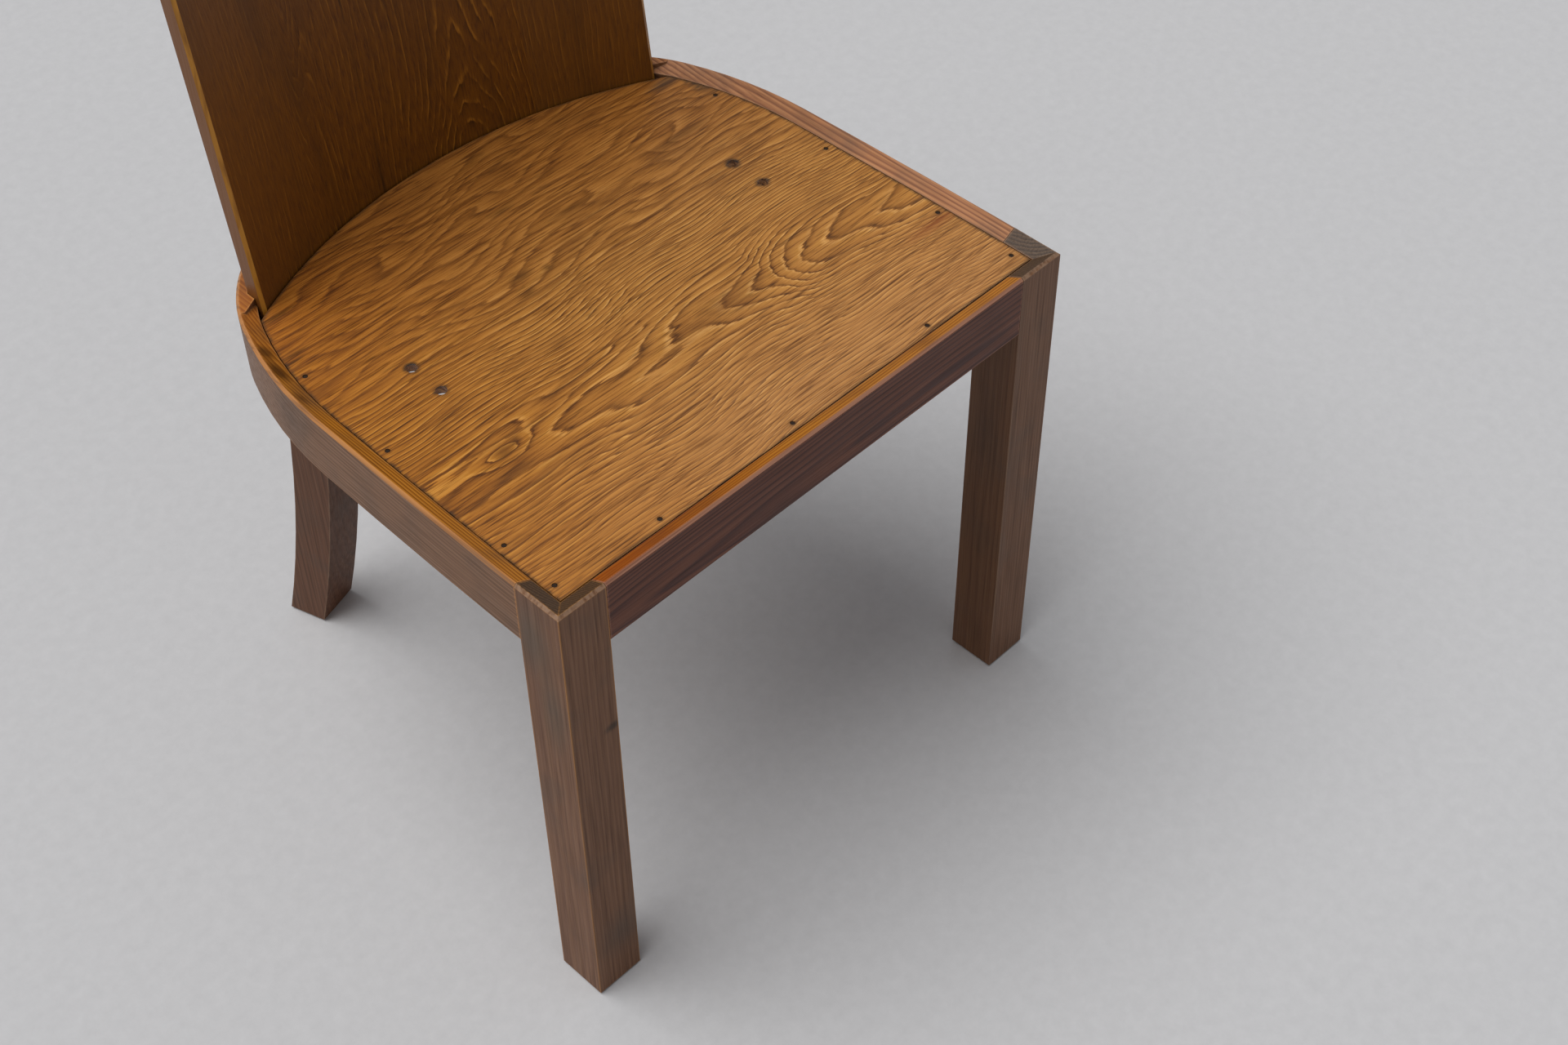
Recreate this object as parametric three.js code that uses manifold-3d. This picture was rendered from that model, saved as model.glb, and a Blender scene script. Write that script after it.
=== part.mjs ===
// A stained pine side chair: square front legs, sabre rear legs, a sawn curved seat frame,
// a plywood seat nailed down inside the rim and a bent plywood back let into the frame.
// Millimetres, +Z up. The sitter faces -Y, so the sitter's left is +X.

import * as THREE from 'three';
import { mergeVertices } from 'three/addons/utils/BufferGeometryUtils.js';
import Module from 'manifold-3d';

// Seat frame in plan: outer face, from the front corner round to the middle of the back
const seatWidth = 480;
const sideLength = 249;
const sideBowRadius = 7100;
const shoulderRadius = 320;
const shoulderTurn = 19.5;
const cornerRadius = 132;
const backRadius = 455;

// Rail section: a rim with a worn chamfer outside, a bevel inside and a ledge for the seat
const rimHeight = 428;
const railHeight = 54;
const railThickness = 30;
const rimWidth = 14;
const rimChamfer = 2.2;
const arrisEase = 1.5;

// Seat panel
const seatThickness = 12;
const seatDrop = 6.4;
const seatGap = 0.8;
const tieHoleDiameter = 8.5;
const tieHoleSpacing = 31.5;
const tieHoleFromFront = 213.5;
const tieHoleFromMiddle = 154.5;

// Front legs
const legWidth = 40;
const legDepth = 41;
const legArris = 2;
const footChamfer = 2;

// Rear legs, set square to the curve of the back
const rearLegWidth = 40;
const rearLegDepth = 34;
const rearLegAngle = 16.9;
const rearLegSweep = 48;
const rearLegCurveTop = 355;

// Back panel and what holds it
const backThickness = 17.5;
const backWall = 24.5;
const backLean = 6.6;
const backTop = 800;
const backLetIn = 42;
const backArris = 3;
const backEdgeGap = 7;
const backRailThickness = 36;

// Seat bearer under the rear edge of the seat
const bearerDepth = 22;
const bearerHeight = 25;
const bearerLength = 220;

// Mortise and tenon joints
const tenonThickness = 10;
const tenonHeight = 24;
const tenonFromBottom = 6;
const frontTenonLength = 22;
const sideTenonLength = 16;
const rearTenonLength = 14;

// Seat nails and back screws
const nailHead = 3.4;
const nailShank = 1.8;
const nailLength = 28;
const nailHeadThickness = 0.8;
const nailSink = 0.3;
const nailInset = 21;
const leftNailRuns = [0.077, 0.272, 0.58, 0.879];
const rightNailRuns = [0.076, 0.211, 0.544, 0.812];
const frontNailRuns = [-0.67, -0.06, 0.61];
const screwHead = 8;
const screwShank = 4;
const screwLength = 37;
const screwSink = 0.3;
const legScrewDrops = [14, 32];
const railScrewAngle = 6;

// Clearance between pieces that seat in or on each other
const fitGap = 0.3;

// How finely round things are divided
const sideSteps = 4;
const shoulderSteps = 6;
const cornerSteps = 16;
const backSteps = 6;
const panelSteps = 24;
const sabreSteps = 10;
const holeSteps = 14;
const nailSides = 8;
const screwSides = 10;
const weldDistance = 1e-4;

// Levels worked out from the sizes above
const railBottom = rimHeight - railHeight;
const seatTop = rimHeight - seatDrop;
const seatBottom = seatTop - seatThickness;
const ledge = seatBottom - fitGap;
const tenonMiddle = railBottom + tenonFromBottom + tenonHeight / 2;
const panelBottom = rimHeight - backLetIn;
const halfWidth = seatWidth / 2;
const leanPerHeight = Math.tan(THREE.MathUtils.degToRad(backLean));
const panelBack = backRadius - backWall - fitGap;
const panelFront = panelBack - backThickness;
const legTurn = THREE.MathUtils.degToRad(rearLegAngle);

const wasm = await Module();
wasm.setup();

function toSolid(geometry) {
  const bare = geometry.clone();
  bare.deleteAttribute('normal');
  bare.deleteAttribute('uv');
  const welded = mergeVertices(bare, weldDistance);
  return new wasm.Manifold(new wasm.Mesh({
    numProp: 3,
    vertProperties: new Float32Array(welded.attributes.position.array),
    triVerts: new Uint32Array(welded.index.array),
  }));
}

function toGeometry(solid) {
  const mesh = solid.getMesh();
  const geometry = new THREE.BufferGeometry();
  geometry.setAttribute('position', new THREE.BufferAttribute(mesh.vertProperties, 3));
  geometry.setIndex(new THREE.BufferAttribute(mesh.triVerts, 1));
  geometry.computeVertexNormals();
  return geometry;
}

function join(first, ...others) {
  let solid = toSolid(first);
  for (const other of others) {
    solid = solid.add(toSolid(other));
  }
  return toGeometry(solid);
}

function cut(body, ...cutters) {
  let solid = toSolid(body);
  for (const cutter of cutters) {
    solid = solid.subtract(toSolid(cutter));
  }
  return toGeometry(solid);
}

function turnFacesOver(geometry) {
  const index = geometry.index.array;
  for (let i = 0; i < index.length; i += 3) {
    [index[i + 1], index[i + 2]] = [index[i + 2], index[i + 1]];
  }
  return geometry;
}

function signedVolume(geometry) {
  const points = geometry.attributes.position;
  const index = geometry.index.array;
  const [a, b, c] = [new THREE.Vector3(), new THREE.Vector3(), new THREE.Vector3()];
  let volume = 0;
  for (let i = 0; i < index.length; i += 3) {
    a.fromBufferAttribute(points, index[i]);
    b.fromBufferAttribute(points, index[i + 1]);
    c.fromBufferAttribute(points, index[i + 2]);
    volume += a.dot(b.cross(c)) / 6;
  }
  return volume;
}

// A closed body through rings of points that all share one outline, flat at both ends
function loft(rings, outline) {
  const count = outline.length;
  const lastRing = (rings.length - 1) * count;
  const turning = Math.sign(THREE.ShapeUtils.area(outline));
  const index = [];
  for (const [a, b, c] of THREE.ShapeUtils.triangulateShape(outline, [])) {
    const sameWay = Math.sign(THREE.ShapeUtils.area([outline[a], outline[b], outline[c]])) === turning;
    const [second, third] = sameWay ? [b, c] : [c, b];
    index.push(a, third, second);
    index.push(lastRing + a, lastRing + second, lastRing + third);
  }
  for (let ring = 0; ring < lastRing; ring += count) {
    for (let i = 0; i < count; i += 1) {
      const here = ring + i;
      const next = ring + (i + 1) % count;
      index.push(here, next, next + count);
      index.push(here, next + count, here + count);
    }
  }
  const geometry = new THREE.BufferGeometry();
  const positions = rings.flat().flatMap((point) => point.toArray());
  geometry.setAttribute('position', new THREE.Float32BufferAttribute(positions, 3));
  geometry.setIndex(index);
  return signedVolume(geometry) < 0 ? turnFacesOver(geometry) : geometry;
}

// A section drawn as (inset from the outer face, height), carried along stations in plan
function sweep(stations, section) {
  const rings = stations.map(({ at, inward }) => section.map((corner) => new THREE.Vector3(
    at.x + inward.x * corner.x,
    at.y + inward.y * corner.x,
    corner.y,
  )));
  return loft(rings, section);
}

function station(x, y, inwardX, inwardY) {
  return { at: new THREE.Vector2(x, y), inward: new THREE.Vector2(inwardX, inwardY) };
}

function outlineOf(...corners) {
  return corners.map(([x, y]) => new THREE.Vector2(x, y));
}

function block(low, high) {
  const size = new THREE.Vector3().subVectors(high, low);
  const middle = new THREE.Vector3().addVectors(low, high).multiplyScalar(0.5);
  return new THREE.BoxGeometry(size.x, size.y, size.z).translate(middle.x, middle.y, middle.z);
}

// The same piece for the other side of the chair
function mirrored(geometry) {
  const copy = geometry.clone();
  if (!copy.index) {
    copy.setIndex([...Array(copy.attributes.position.count).keys()]);
  }
  return turnFacesOver(copy.scale(-1, 1, 1));
}

function onSide(side, geometry) {
  return side > 0 ? geometry : mirrored(geometry);
}

// Plan of the frame's outer face on the left, as arcs that run into each other
const sideTurn = Math.asin(sideLength / sideBowRadius);
const shoulderEnd = sideTurn + THREE.MathUtils.degToRad(shoulderTurn);
const sideCentre = new THREE.Vector2(halfWidth - sideBowRadius, 0);
const shoulderCentre = arcPoint(sideCentre, sideBowRadius - shoulderRadius, sideTurn);
const cornerCentre = arcPoint(shoulderCentre, shoulderRadius - cornerRadius, shoulderEnd);
const cornerEnd = Math.acos(cornerCentre.x / (backRadius - cornerRadius));
const backCentre = arcPoint(cornerCentre, cornerRadius - backRadius, cornerEnd);

function arcPoint(centre, radius, angle) {
  return new THREE.Vector2(centre.x + radius * Math.cos(angle), centre.y + radius * Math.sin(angle));
}

function arcStations(centre, radius, from, to, steps) {
  const stations = [];
  for (let i = 0; i <= steps; i += 1) {
    const angle = from + (to - from) * i / steps;
    const at = arcPoint(centre, radius, angle);
    stations.push(station(at.x, at.y, -Math.cos(angle), -Math.sin(angle)));
  }
  return stations;
}

const frameStations = [
  ...arcStations(sideCentre, sideBowRadius, 0, sideTurn, sideSteps),
  ...arcStations(shoulderCentre, shoulderRadius, sideTurn, shoulderEnd, shoulderSteps).slice(1),
  ...arcStations(cornerCentre, cornerRadius, shoulderEnd, cornerEnd, cornerSteps).slice(1),
  ...arcStations(backCentre, backRadius, cornerEnd, Math.PI / 2, backSteps).slice(1),
];

// Where the line through two stations' inset points first satisfies a falling measure
function crossing(stations, inset, measure) {
  const points = stations.map(({ at, inward }) => at.clone().addScaledVector(inward, inset));
  const after = points.findIndex((point, i) => i > 0 && measure(point) <= 0);
  const share = measure(points[after - 1]) / (measure(points[after - 1]) - measure(points[after]));
  return { after, point: points[after - 1].clone().lerp(points[after], share) };
}

// Places in a rear leg's own directions: across it, outward along its radius, and up
const legAcross = new THREE.Vector2(Math.cos(legTurn), -Math.sin(legTurn));
const legOutward = new THREE.Vector2(Math.sin(legTurn), Math.cos(legTurn));

function acrossRearLeg(point) {
  return point.clone().sub(backCentre).dot(legAcross);
}

function aroundBack(geometry, angle) {
  return geometry.rotateZ(-angle).translate(backCentre.x, backCentre.y, 0);
}

// Sections of the rails
const rimSection = outlineOf(
  [arrisEase, railBottom],
  [0, railBottom + arrisEase],
  [0, rimHeight - rimChamfer],
  [rimChamfer, rimHeight],
  [rimWidth, seatTop],
  [rimWidth, ledge],
  [railThickness, ledge],
  [railThickness, railBottom + arrisEase],
  [railThickness - arrisEase, railBottom],
);

function plainSection(thickness) {
  return outlineOf(
    [arrisEase, railBottom],
    [0, railBottom + arrisEase],
    [0, rimHeight - rimChamfer],
    [rimChamfer, rimHeight],
    [thickness, rimHeight],
    [thickness, railBottom + arrisEase],
    [thickness - arrisEase, railBottom],
  );
}

// The back panel in plan: an arc band with its two ends cut square to the front of the chair
function bandOutline(innerRadius, outerRadius, halfLength, arris) {
  const points = [];
  const reach = halfLength - arris;
  for (let i = 0; i <= panelSteps; i += 1) {
    const x = reach * (2 * i / panelSteps - 1);
    points.push(new THREE.Vector2(x, Math.sqrt(innerRadius ** 2 - x ** 2)));
  }
  points.push(new THREE.Vector2(halfLength, Math.sqrt(innerRadius ** 2 - halfLength ** 2) + arris));
  points.push(new THREE.Vector2(halfLength, Math.sqrt(outerRadius ** 2 - halfLength ** 2) - arris));
  for (let i = panelSteps; i >= 0; i -= 1) {
    const x = reach * (2 * i / panelSteps - 1);
    points.push(new THREE.Vector2(x, Math.sqrt(outerRadius ** 2 - x ** 2)));
  }
  points.push(new THREE.Vector2(-halfLength, Math.sqrt(outerRadius ** 2 - halfLength ** 2) - arris));
  points.push(new THREE.Vector2(-halfLength, Math.sqrt(innerRadius ** 2 - halfLength ** 2) + arris));
  return points;
}

// Bands stacked up the lean of the back, each level with its own outline
function leaningBand(levels) {
  const rings = levels.map(({ height, outline }) => outline.map((point) => new THREE.Vector3(
    point.x + backCentre.x,
    point.y + backCentre.y + (height - seatTop) * leanPerHeight,
    height,
  )));
  return loft(rings, levels[0].outline);
}

// The seat's rear edge stops short of the leaning panel, and its corner sets the panel's width
const seatInset = rimWidth + seatGap;
const seatBackRadius = panelFront - fitGap - seatThickness * leanPerHeight;
const seatCorner = crossing(frameStations, seatInset, (p) => seatBackRadius - p.distanceTo(backCentre));
const panelHalfWidth = seatCorner.point.x - backEdgeGap;

const panelOutline = bandOutline(panelFront, panelBack, panelHalfWidth, backArris);
const panelTopOutline = bandOutline(
  panelFront + backArris,
  panelBack - backArris,
  panelHalfWidth - backArris,
  backArris,
);
const panelRoomOutline = bandOutline(
  panelFront - fitGap,
  panelBack + fitGap,
  panelHalfWidth + fitGap,
  backArris,
);
const panelRoom = leaningBand([
  { height: panelBottom - fitGap, outline: panelRoomOutline },
  { height: backTop, outline: panelRoomOutline },
]);

// Nails and screws hang from a head at height zero; room adds clearance for their holes
function nailBody(room) {
  const head = nailHead / 2 + room;
  const shank = nailShank / 2 + room;
  const top = room > 0 ? seatDrop : 0;
  const profile = outlineOf(
    [0, -nailLength - room],
    [shank, nailShank - nailLength - room],
    [shank, -nailHeadThickness - room],
    [head, -nailHeadThickness - room],
    [head, top],
    [0, top],
  );
  return new THREE.LatheGeometry(profile, nailSides).rotateX(Math.PI / 2);
}

function screwBody(room) {
  const head = screwHead / 2 + room;
  const shank = screwShank / 2 + room;
  const top = room > 0 ? screwHead : 0;
  const taper = (screwHead - screwShank) / 2;
  const profile = outlineOf(
    [0, -screwLength - room],
    [shank, screwShank - screwLength - room],
    [shank, -taper - room],
    [head, -room],
    [head, top],
    [0, top],
  );
  return new THREE.LatheGeometry(profile, screwSides);
}

// Nail places: along both sides at one inset, and along the front
function sideNailPlaces(side, runs) {
  const run = seatCorner.point.y;
  return runs.map((share) => {
    const place = crossing(frameStations, nailInset, (p) => share * run - p.y).point;
    return new THREE.Vector2(side * place.x, place.y);
  });
}

const nailPlaces = {
  left: sideNailPlaces(1, leftNailRuns),
  right: sideNailPlaces(-1, rightNailRuns),
  front: frontNailRuns.map((share) => new THREE.Vector2(share * (halfWidth - legWidth), nailInset)),
};

function placedNail(place, room) {
  return nailBody(room).translate(place.x, place.y, seatTop - nailSink);
}

function nailRooms(places) {
  return places.map((place) => placedNail(place, fitGap));
}

// Screw places: two through each rear leg and two through the back rail
const screwPlaces = [];
for (const side of [1, -1]) {
  for (const drop of legScrewDrops) {
    screwPlaces.push({ angle: side * legTurn, height: rimHeight - drop });
  }
  screwPlaces.push({
    angle: side * THREE.MathUtils.degToRad(railScrewAngle),
    height: rimHeight - (legScrewDrops[0] + legScrewDrops[1]) / 2,
  });
}

function placedScrew({ angle, height }, room) {
  return aroundBack(screwBody(room).translate(0, backRadius - screwSink, height), angle);
}

const screwRooms = screwPlaces.map((place) => placedScrew(place, fitGap));

// Tenons are blocks let into the legs; room makes the mortise of the same joint
function levelBlock(lowX, highX, lowY, highY, room) {
  return block(
    new THREE.Vector3(lowX, lowY, tenonMiddle - tenonHeight / 2 - room),
    new THREE.Vector3(highX, highY, tenonMiddle + tenonHeight / 2 + room),
  );
}

const railMiddle = railThickness / 2;

function frontTenon(room) {
  const shoulder = halfWidth - legWidth;
  return levelBlock(
    shoulder - railMiddle,
    shoulder + frontTenonLength + room,
    railMiddle - tenonThickness / 2 - room,
    railMiddle + tenonThickness / 2 + room,
    room,
  );
}

function sideTenon(room) {
  return levelBlock(
    halfWidth - railMiddle - tenonThickness / 2 - room,
    halfWidth - railMiddle + tenonThickness / 2 + room,
    legDepth - sideTenonLength - room,
    legDepth + railMiddle,
    room,
  );
}

// The joints of a rear leg: the side rail enters its outer side, the back rail its inner side
function rearTenon(outerSide, room) {
  const face = rearLegWidth / 2;
  const middle = backRadius - backWall / 2;
  const deep = face - rearTenonLength - room;
  const shallow = face + backWall / 2;
  return aroundBack(levelBlock(
    outerSide ? deep : -shallow,
    outerSide ? shallow : -deep,
    middle - tenonThickness / 2 - room,
    middle + tenonThickness / 2 + room,
    room,
  ), legTurn);
}

function frontLeg() {
  const postOutline = outlineOf([0, 0], [legWidth, 0], [legWidth, legDepth], [0, legDepth]);
  const post = (height, inset) => outlineOf(
    [inset, inset],
    [legWidth - inset, inset],
    [legWidth - inset, legDepth - inset],
    [inset, legDepth - inset],
  ).map((corner) => new THREE.Vector3(halfWidth - legWidth + corner.x, corner.y, height));
  const body = loft([post(0, footChamfer), post(footChamfer, 0), post(ledge, 0)], postOutline);
  const rim = sweep(
    [
      station(halfWidth - legWidth, 0, 0, 1),
      station(halfWidth, 0, -1, 1),
      station(halfWidth, legDepth, -1, 0),
    ],
    outlineOf(
      [0, railBottom],
      [0, rimHeight - rimChamfer],
      [rimChamfer, rimHeight],
      [rimWidth, seatTop],
      [rimWidth, railBottom],
    ),
  );
  const arrisShape = new THREE.Shape(outlineOf(
    [halfWidth - legArris, -legArris],
    [halfWidth + legArris, -legArris],
    [halfWidth + legArris, legArris],
  ));
  const arris = new THREE.ExtrudeGeometry(arrisShape, { depth: rimHeight, bevelEnabled: false });
  return cut(join(body, rim), arris, frontTenon(fitGap), sideTenon(fitGap));
}

function frontRail() {
  const shoulder = halfWidth - legWidth - fitGap;
  const rail = sweep([station(-shoulder, 0, 0, 1), station(shoulder, 0, 0, 1)], rimSection);
  return join(rail, frontTenon(0), mirrored(frontTenon(0)));
}

// The side rail ends flat against the outer side of the rear leg
const railEnd = crossing(frameStations, 0, (p) => acrossRearLeg(p) - rearLegWidth / 2 - fitGap);
const railEndStation = station(railEnd.point.x, railEnd.point.y, -legOutward.x, -legOutward.y);

function sideRail() {
  const start = crossing(frameStations, 0, (p) => legDepth + fitGap - p.y);
  const middle = frameStations.slice(start.after, railEnd.after - 1);
  const first = station(start.point.x, start.point.y, -1, 0);
  const rim = sweep([first, ...middle, railEndStation], rimSection);
  const behindSeat = middle.filter(({ at, inward }) => {
    const inner = at.clone().addScaledVector(inward, rimWidth);
    return inner.distanceTo(backCentre) > panelFront;
  });
  const filling = sweep([...behindSeat, railEndStation], plainSection(railThickness));
  const seatRoomShape = new THREE.Shape().absarc(0, 0, (panelFront + panelBack) / 2, 0, Math.PI * 2);
  const seatRoom = new THREE.ExtrudeGeometry(seatRoomShape, {
    depth: railHeight,
    bevelEnabled: false,
    curveSegments: panelSteps * 2,
  }).translate(backCentre.x, backCentre.y, ledge);
  return cut(
    join(rim, cut(filling, seatRoom), sideTenon(0), rearTenon(true, 0)),
    panelRoom,
  );
}

function backRail() {
  const halfTurn = legTurn - Math.asin((rearLegWidth / 2 + fitGap) / backRadius);
  const steps = backSteps * 2;
  const inner = arcStations(backCentre, backRadius, Math.PI / 2 + halfTurn, Math.PI / 2 - halfTurn, steps);
  inner[0].inward.set(legOutward.x, -legOutward.y);
  inner[steps].inward.set(-legOutward.x, -legOutward.y);
  const rail = sweep(inner, plainSection(backRailThickness));
  return cut(
    join(rail, rearTenon(false, 0), mirrored(rearTenon(false, 0))),
    panelRoom,
    ...screwRooms,
  );
}

// The sabre curve is a circle's arc that comes upright below the rim
function sabreOffset(height) {
  const radius = (rearLegCurveTop ** 2 + rearLegSweep ** 2) / (2 * rearLegSweep);
  const below = Math.max(rearLegCurveTop - height, 0);
  return radius - Math.sqrt(radius ** 2 - below ** 2);
}

function rearLeg() {
  const half = rearLegWidth / 2;
  const front = backRadius - rearLegDepth;
  const ring = (height, inset, backInset) => outlineOf(
    [-half + inset, front + inset],
    [half - inset, front + inset],
    [half - inset, backRadius - backInset],
    [-half + inset, backRadius - backInset],
  ).map((corner) => new THREE.Vector3(corner.x, corner.y + sabreOffset(height), height));
  const rings = [ring(0, footChamfer, footChamfer)];
  for (let i = 0; i <= sabreSteps; i += 1) {
    rings.push(ring(footChamfer + (rearLegCurveTop - footChamfer) * i / sabreSteps, 0, 0));
  }
  rings.push(ring(rimHeight - rimChamfer, 0, 0));
  rings.push(ring(rimHeight, 0, rimChamfer));
  const outline = outlineOf([-half, front], [half, front], [half, backRadius], [-half, backRadius]);
  return cut(
    aroundBack(loft(rings, outline), legTurn),
    panelRoom,
    rearTenon(true, fitGap),
    rearTenon(false, fitGap),
    ...screwRooms,
  );
}

function seatPanel() {
  const points = [new THREE.Vector2(halfWidth - seatInset, seatInset)];
  for (const { at, inward } of frameStations.slice(0, seatCorner.after)) {
    const point = at.clone().addScaledVector(inward, seatInset);
    if (point.y > seatInset) {
      points.push(point);
    }
  }
  const from = seatCorner.point.clone().sub(backCentre).angle();
  for (const { at } of arcStations(backCentre, seatBackRadius, from, Math.PI / 2, panelSteps / 2)) {
    points.push(at);
  }
  const others = points.slice(0, -1).reverse().map((point) => new THREE.Vector2(-point.x, point.y));
  const shape = new THREE.Shape([...points, ...others]);
  for (const x of [-tieHoleFromMiddle, tieHoleFromMiddle]) {
    for (const y of [tieHoleFromFront, tieHoleFromFront + tieHoleSpacing]) {
      shape.holes.push(new THREE.Path().absarc(x, y, tieHoleDiameter / 2, 0, Math.PI * 2));
    }
  }
  const sheet = new THREE.ExtrudeGeometry(shape, {
    depth: seatThickness,
    bevelEnabled: false,
    curveSegments: holeSteps,
  }).translate(0, 0, seatBottom);
  return cut(sheet, ...nailRooms(Object.values(nailPlaces).flat()));
}

function backPanel() {
  const panel = leaningBand([
    { height: panelBottom, outline: panelOutline },
    { height: backTop - backArris, outline: panelOutline },
    { height: backTop, outline: panelTopOutline },
  ]);
  return cut(panel, ...screwRooms);
}

function seatBearer() {
  const back = panelFront - fitGap;
  const outline = bandOutline(back - bearerDepth, back, bearerLength / 2, arrisEase);
  return leaningBand([
    { height: ledge - bearerHeight, outline },
    { height: ledge, outline },
  ]);
}

// Colours from the photograph: grey-brown legs, red-brown front rail, amber seat, dark back
function finish(color, roughness, metalness) {
  return new THREE.MeshStandardMaterial({ color, roughness, metalness });
}

const group = new THREE.Group();

function addPiece(name, geometry, material) {
  const mesh = new THREE.Mesh(geometry, material);
  mesh.name = name;
  group.add(mesh);
}

const sides = [
  { name: 'left', side: 1 },
  { name: 'right', side: -1 },
];
for (const { name, side } of sides) {
  const [legNail, ...railNails] = nailPlaces[name];
  addPiece(
    `front_leg_${name}`,
    cut(onSide(side, frontLeg()), ...nailRooms([legNail])),
    finish(0x5c4434, 0.55, 0),
  );
  addPiece(
    `side_rail_${name}`,
    cut(onSide(side, sideRail()), ...nailRooms(railNails)),
    finish(0x6b4a30, 0.5, 0),
  );
  addPiece(`rear_leg_${name}`, onSide(side, rearLeg()), finish(0x573d2e, 0.55, 0));
}
addPiece('front_rail', cut(frontRail(), ...nailRooms(nailPlaces.front)), finish(0x5a2f22, 0.5, 0));
addPiece('back_rail', backRail(), finish(0x5c4434, 0.55, 0));
addPiece('seat_panel', seatPanel(), finish(0x8c5a26, 0.45, 0));
addPiece('back_panel', backPanel(), finish(0x4a2f17, 0.4, 0));
addPiece('seat_bearer', seatBearer(), finish(0x8a6a48, 0.7, 0));

for (const [row, places] of Object.entries(nailPlaces)) {
  places.forEach((place, i) => {
    addPiece(`seat_nail_${row}_${i + 1}`, placedNail(place, 0), finish(0x2e2824, 0.6, 0.8));
  });
}
screwPlaces.forEach((place, i) => {
  addPiece(`back_screw_${i + 1}`, placedScrew(place, 0), finish(0x6e6a63, 0.45, 0.9));
});

// The origin lies on the floor, under the middle of the chair's box
const box = new THREE.Box3().setFromObject(group);
group.position.y = -(box.min.y + box.max.y) / 2;

export default group;
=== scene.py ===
import math

import bmesh
import bpy
import numpy as np
from mathutils import Matrix, Vector


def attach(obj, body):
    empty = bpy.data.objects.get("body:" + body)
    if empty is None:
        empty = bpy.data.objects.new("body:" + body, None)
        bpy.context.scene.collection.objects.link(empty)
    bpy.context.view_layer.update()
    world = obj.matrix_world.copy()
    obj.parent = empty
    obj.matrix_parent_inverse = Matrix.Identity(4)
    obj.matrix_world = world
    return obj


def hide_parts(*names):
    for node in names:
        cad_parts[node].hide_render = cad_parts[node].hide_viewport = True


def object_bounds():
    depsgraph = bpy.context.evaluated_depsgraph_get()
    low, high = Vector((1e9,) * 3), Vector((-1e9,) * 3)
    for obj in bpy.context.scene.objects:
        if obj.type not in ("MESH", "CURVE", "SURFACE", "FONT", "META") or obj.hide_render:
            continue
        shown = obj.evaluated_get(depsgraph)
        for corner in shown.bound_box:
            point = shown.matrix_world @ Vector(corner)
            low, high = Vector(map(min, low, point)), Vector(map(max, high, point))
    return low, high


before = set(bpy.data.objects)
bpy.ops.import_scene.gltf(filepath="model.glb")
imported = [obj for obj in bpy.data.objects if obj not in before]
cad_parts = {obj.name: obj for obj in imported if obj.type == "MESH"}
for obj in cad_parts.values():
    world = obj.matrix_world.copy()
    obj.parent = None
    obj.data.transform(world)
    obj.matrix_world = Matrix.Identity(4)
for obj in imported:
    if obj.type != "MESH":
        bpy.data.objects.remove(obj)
cad_low, cad_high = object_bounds()


# Front legs
# Two square pine posts, planed and stained grey-brown, standing at the corners of the seat
# frame with their end grain showing at the top and their arrises rubbed back to amber.
def hue(code):
    channels = [int(code[i : i + 2], 16) / 255 for i in (1, 3, 5)]
    linear = [c / 12.92 if c <= 0.04045 else ((c + 0.055) / 1.055) ** 2.4 for c in channels]
    return (*linear, 1.0)


def add(tree, kind, links=None, stops=None, **settings):
    made = tree.nodes.new("ShaderNode" + kind)
    for key, value in settings.items():
        setattr(made, key, value)
    for key, value in (links or {}).items():
        if isinstance(value, bpy.types.NodeSocket):
            tree.links.new(value, made.inputs[key])
        else:
            made.inputs[key].default_value = value
    if stops:
        places = made.color_ramp.elements
        while len(places) < len(stops):
            places.new(1.0)
        for place, (where, code) in zip(places, stops):
            place.position = where
            place.color = hue(code)
    return made


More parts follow.
